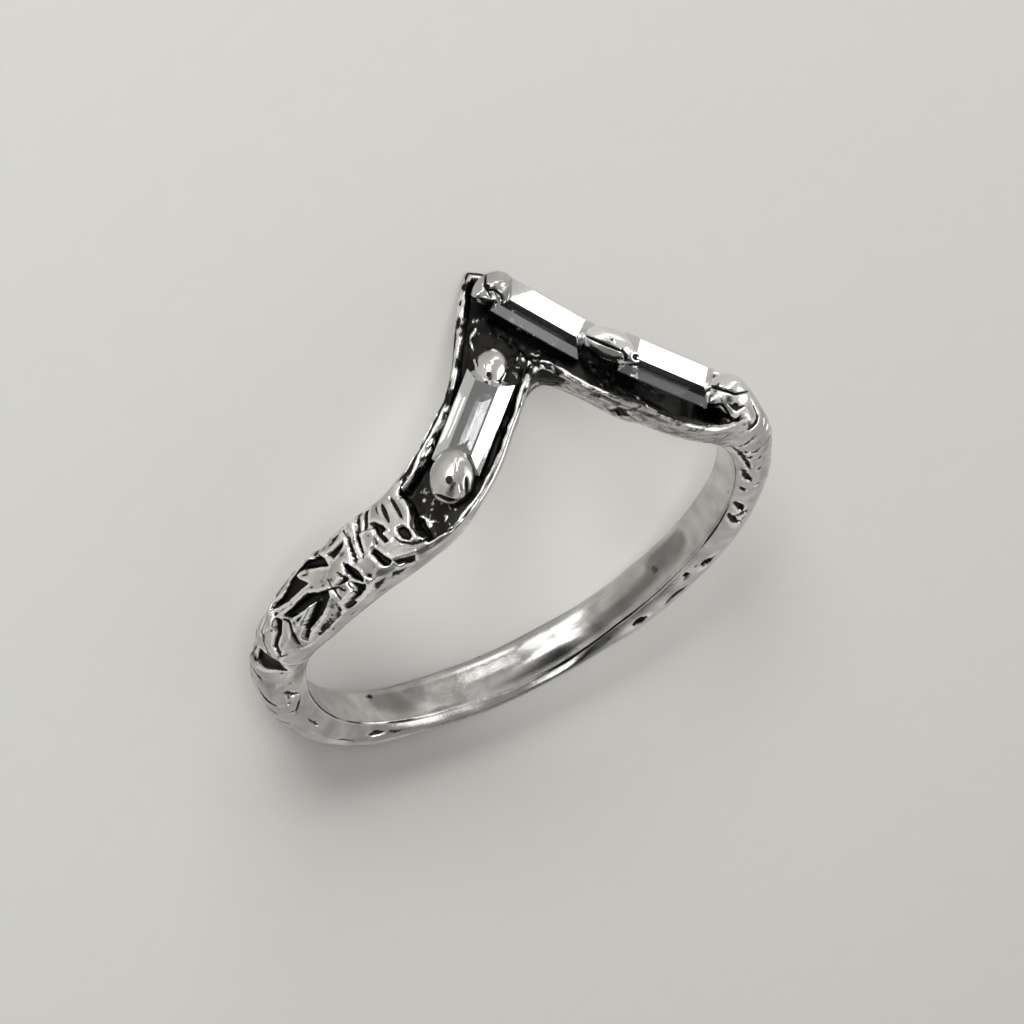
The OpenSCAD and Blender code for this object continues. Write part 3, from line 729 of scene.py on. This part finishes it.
def skin_marks(a, grid, radius, height, walls, inner):
    """Marks and texture of the whole skin: push along its own normal, and how black it is."""
    x = a * MM_PER_DEG
    arms = band_of(a, -14, 46, 8)
    carved = band_of(a, -104, -36, 8) + band_of(a, 46, 92, 8)
    shank = 1 - band_of(a, -100, 96, 20)
    shank_back_shade = 0.5 * band_of(a % 360, 146, 206, 10)
    long_way = np.stack([x + 0 * radius, radius, height], axis=-1) * [0.4, 1, 1]

    push, black = np.zeros((2, *radius.shape))
    for side, *turns in ((LOW_SIDE, 0, 0), (HIGH_SIDE, LINE_TURN, PIT_TURN)):
        marks = side_marks(a, radius[:, side], *turns)
        push[:, side] = -marks
        black[:, side] = ramp(marks, 0.02, 0.05)
    push += walls * (0.022 * arms + 0.012 * carved + 0.004) * rough(long_way, 0.26, 51, 4)
    push += (0.012 * carved + 0.004) * noise(grid, 0.9, 61)
    push += shank * (0.05 * noise(grid, 3.2, 71) + 0.014 * noise(grid, 1.1, 72))
    push += inner * 0.03 * noise(grid, 2.2, 73)
    pitted = ramp(rough(long_way, 0.18, 81), 0.5, 0.3) * walls * arms
    push -= 0.03 * pitted

    line = 0.42 + 0.35 * (band_of(a, 132, 172, 12) + band_of(a, 92, 114, 6) + band_of(a, -164, -90, 12))
    black[:, EDGE_LINE] = line * ramp(noise(grid[:, EDGE_LINE], 1.6, 75), -0.6, 0.4) * shank
    # Painted shade: the back of the shank is darkened on the outer part of its lower side and on the lower
    # half of its outer face
    outer_part = ramp(np.linspace(0, 1, LOW_SIDE_POINTS), 0.45, 0.4)
    black[:, LOW_SIDE] = most(black[:, LOW_SIDE], shank_back_shade * outer_part)
    black[:, FACE] = shank_back_shade * smooth((-height[:, FACE] - 0.3) / 0.4)
    for at, z_at, reach, tone in INNER_MARKS:
        d = np.hypot(x - at * MM_PER_DEG, height - z_at)
        black = most(black, inner * tone * smooth(1.4 - d / reach))
    return push, most(
        black,
        0.95 * band_of(a, -3, 9, 3) * walls * ramp(rough(grid, 0.4, 87), -0.7, 0.5),
        0.85 * pitted,
        ramp(rough(long_way, 0.3, 83, 4), 0.7, 0.4) * walls * (0.35 + 0.3 * shank),
        (0.36 + 0.22 * rough(long_way, 0.16, 85, 4)) * walls * band_of(a, 2, 52, 8),
    )


def painted_darkening(a, height, above_low, walls, inner):
    """Painted shade and dark reflections that darken the metal: the shank's sides, the bends, the
    single-stone arm's lip and the inner wall.
    """
    painted_dark = walls * most(0.55 * band_of(a % 360, 138, 228, 16), 0.35 * band_of(a, -156, -96, 12))
    bends = 0.35 * band_of(a, -124, -84, 8) + 0.25 * band_of(a, 52, 96, 8)
    painted_dark[:, FACE] = most(bends, 0.35 * band_of(a, -34, -2, 4) * smooth((0.5 - above_low) / 0.15))
    for points, half_w, strength in INNER_DARK_REFLECTIONS:
        reflection_patch = groove(a * MM_PER_DEG, height, run_points(points), half_w, 1.0, 0.3)
        painted_dark = most(painted_dark, inner * strength * smooth(reflection_patch / 0.6))
    return painted_dark


def band_grid():
    """The band's grid of points in the ring's own frame, how black and bright each is, and its painted shade.
    """
    angles = np.concatenate([np.arange(*run) for run in SECTION_RUNS])
    sizes = sizes_at(angles)
    z = face_heights(angles, sizes)
    r, relief, face_black, face_bright = outer_face(angles, z, sizes)
    radius, height = section_loops(angles, sizes, r + over_ring(angles, SHANK_WAVES)[:, None], z)
    a = angles[:, None]
    grid = np.stack([radius * np.sin(np.radians(a)), -radius * np.cos(np.radians(a)), height], axis=-1)
    walls, inner, worn = np.zeros((3, *radius.shape))
    walls[:, LOW_SIDE] = walls[:, HIGH_SIDE] = inner[:, INNER_WALL] = 1
    push, black = skin_marks(a, grid, radius, height, walls, inner)
    above_low = z - sizes[:, OUT_LOW, None]
    painted_dark = painted_darkening(a, height, above_low, walls, inner)

    along_band = np.roll(grid, -1, 0) - np.roll(grid, 1, 0)
    round_band = np.roll(grid, -1, 1) - np.roll(grid, 1, 1)
    normal = np.cross(along_band, round_band)
    normal /= np.linalg.norm(normal, axis=-1, keepdims=True) + 1e-12
    grid = grid + normal * push[..., None]

    # Hollows are blackened and ridges are worn bright
    bumps = push.copy()
    bumps[:, FACE] += relief - blurred(np.pad(relief, ((0, 0), (6, 6)), "edge"), 5)[:, 6:-6]
    hollow = blurred(bumps, 4) - bumps
    black[:, FACE] = most(black[:, FACE], face_black)
    black = np.clip(most(black, ramp(hollow, 0.012, 0.05) * (1 - inner)), 0, 1)
    bright = ramp(-hollow, 0.008, 0.04)
    bright[:, FACE] *= 1 - 0.5 * band_of(a, *DOUBLE_LIP) * smooth((0.7 - above_low) / 0.3)
    worn[:, FACE] = face_bright
    return grid, black, np.clip(most(bright * (1 - 0.7 * black), worn), 0, 1), painted_dark


def placed(name, data):
    """A new object of the scene with the given mesh, light or camera."""
    obj = bpy.data.objects.new(name, data)
    bpy.context.scene.collection.objects.link(obj)
    return obj


def mesh_object(name, points, faces, attributes=None, flat=False):
    """A new mesh object from points in metres, with number attributes on its vertices."""
    mesh = bpy.data.meshes.new(name)
    mesh.from_pydata(points, [], faces, shade_flat=flat)
    for key, values in (attributes or {}).items():
        layer = mesh.attributes.new(key, "FLOAT", "POINT")
        layer.data.foreach_set("value", np.ravel(values).astype(np.float32))
    mesh.update()
    return placed(name, mesh)


def quads(n, m):
    """Faces of a grid of n by m points that closes on itself both ways."""
    i, j = np.meshgrid(np.arange(n), np.arange(m), indexing="ij")
    i2, j2 = (i + 1) % n, (j + 1) % m
    return np.stack([i * m + j, i2 * m + j, i2 * m + j2, i * m + j2], axis=-1).reshape(-1, 4).tolist()


def band():
    """The band's metal as one closed skin."""
    grid, black, bright, painted_dark = band_grid()
    return mesh_object("band_metal", laid(grid.reshape(-1, 3)).tolist(), quads(*black.shape),
                       {"oxide_and_painted_shade": black, "wear_and_painted_light": bright, "shade": painted_dark})


def camera_axes():
    """The camera's right, up and backward directions in the row frame, a row each."""
    c, s = cos_sin(CAM_ELEVATION)
    level = np.array([[1, 0, 0], [0, -s, c], [0, -c, -s]])
    return turn(Z, -CAM_ROLL).T @ level @ turn(Z, -PEAK_TURN).T @ LAY.T


AXES = camera_axes()


# Shape of each bead as the photograph shows it. Places are right and up over its outline, from -1 to 1:
# lumps (place, reach, height), folds (corner points, half width, depth), holes (place, radius, depth).
# Each hole is painted black; where its depth is 0 it is only a painted dark reflection on the smooth dome.
BEAD_LUMPS = [
    [((0.32, 0.25), 0.62, 0.14), ((-0.62, -0.42), 0.45, 0.2)],
    [((-0.35, 0.35), 0.7, 0.1), ((0.76, -0.55), 0.52, 0.42)],
    [((0.25, 0.55), 0.6, 0.1), ((-0.8, -0.25), 0.55, 0.42), ((0.2, -0.85), 0.45, 0.12)],
    [((0, 0.35), 0.7, 0.08), ((0.05, -0.85), 0.4, 0.14), ((-0.85, 0.35), 0.28, 0.16)],
    [((0.15, 0.5), 0.65, 0.06), ((-0.1, -0.7), 0.5, 0.05)],
]
BEAD_FOLDS = [
    [([(-0.3, 0.75), (-0.34, 0.1), (-0.2, -0.2), (0.1, -0.15), (0.5, -0.48), (0.78, -0.3)], 0.11, 0.22),
     ([(-0.2, -0.25), (-0.05, -0.6)], 0.08, 0.12), ([(0.12, -0.3), (0.3, -0.66)], 0.07, 0.1)],
    [([(-0.86, 0.46), (-0.13, -0.02), (0.48, -0.36)], 0.1, 0.26),
     ([(-0.92, -0.12), (-0.5, -0.5), (0.05, -0.82)], 0.08, 0.14),
     ([(0.05, 0.38), (0.18, 0.1)], 0.06, 0.06), ([(0.48, -0.2), (0.56, -0.85)], 0.08, 0.16)],
    [([(-0.78, 0.4), (-0.15, 0.22), (0.3, 0.06), (0.92, 0.22)], 0.09, 0.2),
     ([(-0.9, -0.36), (-0.35, -0.4), (-0.1, -0.72)], 0.09, 0.16),
     ([(0, -0.42), (0.32, -0.62), (0.72, -0.5)], 0.11, 0.18), ([(0.42, 0.66), (0.5, 0.38)], 0.04, 0.05)],
    [([(-0.88, -0.25), (-0.55, -0.58), (0.05, -0.7), (0.6, -0.56), (0.88, -0.2)], 0.09, 0.2),
     ([(-0.74, 0.7), (-0.72, 0.1)], 0.07, 0.12), ([(-0.25, 0.55), (-0.3, 0)], 0.05, 0.03)],
    [([(-0.62, -0.7), (-0.25, -0.8), (0.1, -0.86)], 0.13, 0.14),
     ([(0.62, -0.05), (0.66, -0.6)], 0.12, 0.14), ([(0.22, 0.8), (0.16, 0.2)], 0.05, 0.04),
     ([(0.3, -0.25), (0.42, -0.7)], 0.05, 0.06)],
]
BEAD_HOLES_AND_REFLECTIONS = [
    [((-0.22, 0.02), 0.14, 0.16)],
    [((0.78, -0.5), 0.13, 0.24), ((0.1, 0.26), 0.07, 0.06)],
    [((0.3, -0.48), 0.16, 0.14)],
    [((-0.08, -0.26), 0.15, 0)],
    [((-0.12, -0.12), 0.17, 0)],
]


def bead_shape(index, p, right, up, near):
    """Relief of one bead over its own unit sphere p, seen at places right and up; and how black it is, with
    oxide in its folds and pits and painted dark reflections in its spots.
    """
    seen = ramp(near, -0.05, 0.25)
    relief = 0.035 * noise(p, 0.9, 100 + index) + 0.015 * noise(p, 0.4, 110 + index)
    for (u, v), reach, height in BEAD_LUMPS[index]:
        relief += height * seen * smooth(1 - np.hypot(right - u, up - v) / reach)
    fold = seen * deepest(right, up, BEAD_FOLDS[index], taper=0.5)
    oxide_and_reflection = ramp(fold, 0.02, 0.06)
    for (u, v), radius, depth in BEAD_HOLES_AND_REFLECTIONS[index]:
        dark_spot = seen * smooth(1.3 - np.hypot(right - u, up - v) / radius)
        fold = most(fold, depth * dark_spot)
        oxide_and_reflection = most(oxide_and_reflection, smooth(1.6 * dark_spot))
    return relief - fold, oxide_and_reflection


# Painted light: how far each bead's colour is lifted towards the bright worn tone, from 0 to 1
BEAD_PAINTED_LIGHT = [0.0, 0.8, 0.55, 0.2, 0.0]
BEAD_RINGS, BEAD_SIDES = 72, 108


def bead_sphere():
    """Points of a unit sphere with a pole at each end of Z, and its faces."""
    v = np.linspace(0, math.pi, BEAD_RINGS + 1)[1:-1]
    u = np.linspace(0, 2 * math.pi, BEAD_SIDES, endpoint=False)
    vv, uu = np.meshgrid(v, u, indexing="ij")
    rings = np.stack([np.sin(vv) * np.cos(uu), np.sin(vv) * np.sin(uu), np.cos(vv)], axis=-1).reshape(-1, 3)
    top = len(rings)
    bottom, last = top + 1, top - BEAD_SIDES
    faces = quads(BEAD_RINGS - 1, BEAD_SIDES)[:-BEAD_SIDES]
    faces += [[top, s, (s + 1) % BEAD_SIDES] for s in range(BEAD_SIDES)]
    faces += [[bottom, last + (s + 1) % BEAD_SIDES, last + s] for s in range(BEAD_SIDES)]
    return np.vstack([rings, [0, 0, 1], [0, 0, -1]]), faces


def beads():
    """All bead prongs as one object of five closed skins."""
    sphere, skin = bead_sphere()
    # Painted shade and dark reflection: each bead is blackened over its lower part, where it meets the band
    foot_shade = smooth((-sphere[:, 2] - 0.15) / 0.4)
    points, faces, black = [], [], []
    for index, (a, z, out, direction, half_l, half_w) in enumerate(BEADS):
        stand = turn(Z, a) @ turn(X, 90) @ turn(Z, direction)
        size = np.array([half_l, half_w, half_w])
        view = AXES @ LAY @ stand
        place = (sphere * size) @ view.T / np.linalg.norm(view * size, axis=1)
        relief, oxide_and_reflection = bead_shape(index, sphere, *place.T)
        base = turn(Z, a) @ np.array([0, -INNER_R - out, z])
        points.append(sphere * size * (1 + relief)[:, None] @ stand.T + base)
        black.append(most(oxide_and_reflection, foot_shade))
        faces += [[index * len(sphere) + k for k in f] for f in skin]
    painted_light = np.repeat(BEAD_PAINTED_LIGHT, len(sphere))
    return mesh_object("bead_prongs", laid(np.vstack(points)).tolist(), faces,
                       {"oxide_and_painted_shade": black, "wear_and_painted_light": painted_light, "shade": 0 * painted_light})


def new_material(name):
    """An empty node material: its tree and its main shader."""
    material = bpy.data.materials.new(name)
    material.use_nodes = True
    tree = material.node_tree
    return material, tree, tree.nodes["Principled BSDF"]


def fill(made, inputs):
    """Gives a node's inputs fixed values, or links them to outputs of other nodes."""
    for key, value in inputs.items():
        if isinstance(value, bpy.types.NodeSocket):
            made.id_data.links.new(value, made.inputs[key])
        else:
            made.inputs[key].default_value = value


def node(tree, kind, inputs=None, **settings):
    """A node with its settings and inputs."""
    made = tree.nodes.new(kind)
    for key, value in settings.items():
        setattr(made, key, value)
    fill(made, inputs or {})
    return made


def scaled(tree, value, gain, offset, clamp=False):
    """A value times a gain plus an offset, each a number or an output; returns its output."""
    inputs = {0: value, 1: gain, 2: offset}
    return node(tree, "ShaderNodeMath", inputs, operation="MULTIPLY_ADD", use_clamp=clamp).outputs[0]


# Numbers of the colour sockets of a Mix node: its two inputs and its output
MIX_A, MIX_B, MIX_OUT = 6, 7, 2


def mixed(tree, factor, first, second):
    """A colour mix of two colours or outputs; returns its output."""
    inputs = {"Factor": factor, MIX_A: first, MIX_B: second}
    return node(tree, "ShaderNodeMix", inputs, data_type="RGBA").outputs[MIX_OUT]


def speckle(tree, scale, detail, roughness=0.6):
    """Fine noise over the object's own coordinates; returns its output."""
    place = node(tree, "ShaderNodeTexCoord").outputs["Object"]
    inputs = {"Vector": place, "Scale": scale, "Detail": detail, "Roughness": roughness}
    return node(tree, "ShaderNodeTexNoise", inputs).outputs["Fac"]


# Colours of the silver's satin flats, worn ridges and painted light, painted shade and dark reflections,
# and black for the oxide in its hollows and for painted shade; of the stones and of the paper
SATIN_DARK, SATIN_PALE = (0.40, 0.39, 0.38, 1), (0.74, 0.73, 0.71, 1)
WORN_AND_LIT_TONE, PAINTED_SHADE_TONE, BLACK_OXIDE_AND_SHADE = (0.95, 0.94, 0.92, 1), (0.15, 0.146, 0.14, 1), (0.022, 0.021, 0.020, 1)
STONE_TONES = (0.86, 0.87, 0.88, 1), (0.98, 0.98, 0.99, 1)
PAPER_TONES = (0.330, 0.326, 0.311, 1), (0.340, 0.336, 0.321, 1)
# How steeply the black sets in, from which amount of oxide and painted shade, and how far the grain shifts
# that
BLACK_GAIN, BLACK_FROM, BLACK_GRAIN = 3.2, 0.35, 0.7


def silver():
    """Silver, worn bright on its ridges, satin on its flats and blackened in its hollows, with painted light,
    painted shade and painted dark reflections from its attributes.
    """
    material, tree, shader = new_material("oxidised_silver")
    read = [node(tree, "ShaderNodeAttribute", attribute_name=name) for name in ("oxide_and_painted_shade", "wear_and_painted_light", "shade")]
    oxide_and_painted_shade, wear_and_painted_light, shade = (made.outputs["Fac"] for made in read)
    fine, coarse = speckle(tree, 9000, 4), speckle(tree, 1000, 2, 0.5)
    grain = scaled(tree, fine, BLACK_GAIN * BLACK_GRAIN, -BLACK_GAIN * (BLACK_FROM + BLACK_GRAIN / 2))
    black = scaled(tree, oxide_and_painted_shade, BLACK_GAIN, grain, clamp=True)
    satin = mixed(tree, scaled(tree, coarse, 2.0, -0.5, clamp=True), SATIN_DARK, SATIN_PALE)
    colour = mixed(tree, black, mixed(tree, shade, mixed(tree, wear_and_painted_light, satin, WORN_AND_LIT_TONE), PAINTED_SHADE_TONE), BLACK_OXIDE_AND_SHADE)
    gloss = scaled(tree, black, 0.22, scaled(tree, coarse, 0.16, 0.09))
    tooth = scaled(tree, speckle(tree, 24000, 2), 0.5, fine)
    bump = node(tree, "ShaderNodeBump", {"Strength": 0.35, "Distance": 0.00002, "Height": tooth})
    inputs = {"Base Color": colour, "Metallic": 1.0, "Roughness": gloss, "Normal": bump.outputs["Normal"]}
    fill(shader, inputs)
    return material


def stone_glass():
    """Colourless cut stone: clear, strongly reflecting, with faint internal haze."""
    material, tree, shader = new_material("cut_stone")
    haze = mixed(tree, speckle(tree, 1800, 3), *STONE_TONES)
    inputs = {"Base Color": haze, "Metallic": 0.7, "Roughness": 0.03, "IOR": 2.2, "Transmission Weight": 1.0}
    fill(shader, inputs)
    return material


def floor_paper():
    """Pale matt paper with a faint tooth."""
    material, tree, shader = new_material("floor_paper")
    colour = mixed(tree, speckle(tree, 900, 3, 0.5), *PAPER_TONES)
    fill(shader, {"Base Color": colour, "Roughness": 0.9, "Specular IOR Level": 0.2})
    return material


CENTRE = Vector(REST_SHIFT) * MM


def photo_camera():
    """The camera at the photograph's angle."""
    data = bpy.data.cameras.new("camera")
    data.sensor_width = SENSOR_MM
    data.lens = PX_PER_MM * CAM_DISTANCE / FRAME_PX * SENSOR_MM
    data.shift_x = (FRAME_PX / 2 - CENTRE_PX[0]) / FRAME_PX
    data.shift_y = (CENTRE_PX[1] - FRAME_PX / 2) / FRAME_PX
    data.clip_start, data.clip_end = CLIP_M
    place = np.eye(4)
    place[:3, :3] = AXES.T
    place[:3, 3] = (np.array(REST_SHIFT) + AXES[2] * CAM_DISTANCE) * MM
    camera = placed("camera", data)
    camera.matrix_world = Matrix(place.tolist())
    bpy.context.scene.camera = camera


def photo_way(direction):
    """A direction of the photograph (right, up, towards the camera) in the row frame."""
    way = np.array(direction, dtype=float) @ AXES
    return Vector((way / np.linalg.norm(way)).tolist())


# Soft panels: name, direction in the photograph, distance, width and height, watts, and whether it
# lights the floor and gives the shadow; the others are seen only in the metal and the stones
PANELS = [
    ("key", (0.1, 0.5, 0.86), 700, (236, 236), 6.6, True),
    ("near_key", (-0.08, 0.33, 0.94), 700, (157, 157), 9.6, True),
    ("front", (0.1, 0.03, 1.0), 560, (140, 140), 2.1, True),
    ("top_glint", (-0.15, 0.32, 0.94), 400, (170, 170), 0.55, False),
    ("right_glint", (0.99, -0.05, 0.05), 400, (240, 240), 0.55, False),
    ("low_screen", (0.3, 0.7, 0.65), 500, (180, 140), 0.24, False),
]


def panel(name, direction, distance, size, watts, on_floor):
    """A soft panel of light that faces the ring from a direction of the photograph."""
    data = bpy.data.lights.new(name, "AREA")
    data.shape = "RECTANGLE"
    data.size, data.size_y = size[0] * MM, size[1] * MM
    data.energy = watts
    way = photo_way(direction)
    obj = placed(name, data)
    obj.visible_diffuse, obj.visible_glossy = on_floor, not on_floor
    obj.location = CENTRE + way * distance * MM
    obj.rotation_euler = way.to_track_quat("Z", "Y").to_euler()


# Lamps that brighten the floor past the picture's upper edge, where the stones' tables look:
# place on the floor from the ring's centre, radius of the pool, watts
POOLS = [((-27.0, -39.0), 14.0, 46.0), ((-79.0, -68.0), 30.0, 46.0)]
POOL_LAMP_H = 300.0
SPOT_SOURCE_R = 0.001


def spot(name, at, distance, radius, watts, blend):
    """A lamp that shines straight down until it is turned: its beam has the radius at the distance."""
    data = bpy.data.lights.new(name, "SPOT")
    data.energy = watts
    data.spot_size = 2 * math.atan(radius / distance)
    data.spot_blend = blend
    data.shadow_soft_size = SPOT_SOURCE_R
    obj = placed(name, data)
    obj.location = at
    return obj


# A soft beam from beside the camera into the finger hole: its target in the photograph,
# right and up from the ring's centre, radius and watts
HOLE_BEAM = ((1.1, 0.6), 8.6, 2.0)


def hole_light():
    """A beam along the camera's view that keeps the floor inside the ring as light as the floor around it."""
    (right, up), radius, watts = HOLE_BEAM
    start = CENTRE + Vector(AXES[2].tolist()) * CAM_DISTANCE * MM
    target = CENTRE + Vector((right * AXES[0] + up * AXES[1]).tolist()) * MM
    beam = spot("hole_beam", start, CAM_DISTANCE, radius, watts, 1.0)
    beam.visible_glossy = False
    beam.rotation_euler = (start - target).to_track_quat("Z", "Y").to_euler()


# The surround is pale with soft dark places, where the stones' dark facets look:
# direction in the photograph, cosines where the darkness starts and is full, and the light left there
DARK_PLACES = [
    ((0.18, -0.31, 0.93), 0.95, 0.967, 0.03), ((0.0, -0.8, 0.6), 0.8, 0.93, 0.3),
    ((0.02, 0.58, 0.82), 0.975, 0.992, 0.35),
]
ROOM_LIGHT = 0.60


def surround():
    """The world: an even pale room with soft dark places in it."""
    world = bpy.data.worlds.new("surround")
    world.use_nodes = True
    tree = world.node_tree
    way = node(tree, "ShaderNodeTexCoord").outputs["Generated"]
    strength = ROOM_LIGHT
    for direction, start, full, left in DARK_PLACES:
        inputs = {0: way, 1: photo_way(direction)}
        near = node(tree, "ShaderNodeVectorMath", inputs, operation="DOT_PRODUCT").outputs["Value"]
        inputs = {"Value": near, "From Min": start, "From Max": full, "To Min": 1.0, "To Max": left}
        fade = node(tree, "ShaderNodeMapRange", inputs, interpolation_type="SMOOTHSTEP")
        strength = scaled(tree, fade.outputs["Result"], strength, 0.0)
    fill(tree.nodes["Background"], {"Color": (1.0, 0.99, 0.96, 1), "Strength": strength})
    bpy.context.scene.world = world


FLOOR_HALF_M = 1.5


def studio():
    """Pale floor, soft lights and the surround."""
    corners = [(FLOOR_HALF_M * x, FLOOR_HALF_M * y, 0) for x, y in ((-1, -1), (1, -1), (1, 1), (-1, 1))]
    floor = mesh_object("floor", corners, [(0, 1, 2, 3)], flat=True)
    floor.data.materials.append(floor_paper())
    surround()
    for row in PANELS:
        panel(*row)
    for index, ((x, y), radius, watts) in enumerate(POOLS):
        above = Vector((REST_SHIFT[0] + x, REST_SHIFT[1] + y, POOL_LAMP_H)) * MM
        spot(f"floor_pool_{index + 1}", above, POOL_LAMP_H, radius, watts, 0.15)
    hole_light()
    bpy.context.scene.view_settings.view_transform = "Standard"


metal = silver()
for piece, covered in ((band(), "band"), (beads(), None)):
    piece.data.materials.append(metal)
    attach(piece, "root")
    if covered:
        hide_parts(covered)
glass = stone_glass()
for name in STONES:
    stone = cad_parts[name]
    for slot in stone.material_slots:
        slot.link = "OBJECT"
        slot.material = glass

studio()
photo_camera()
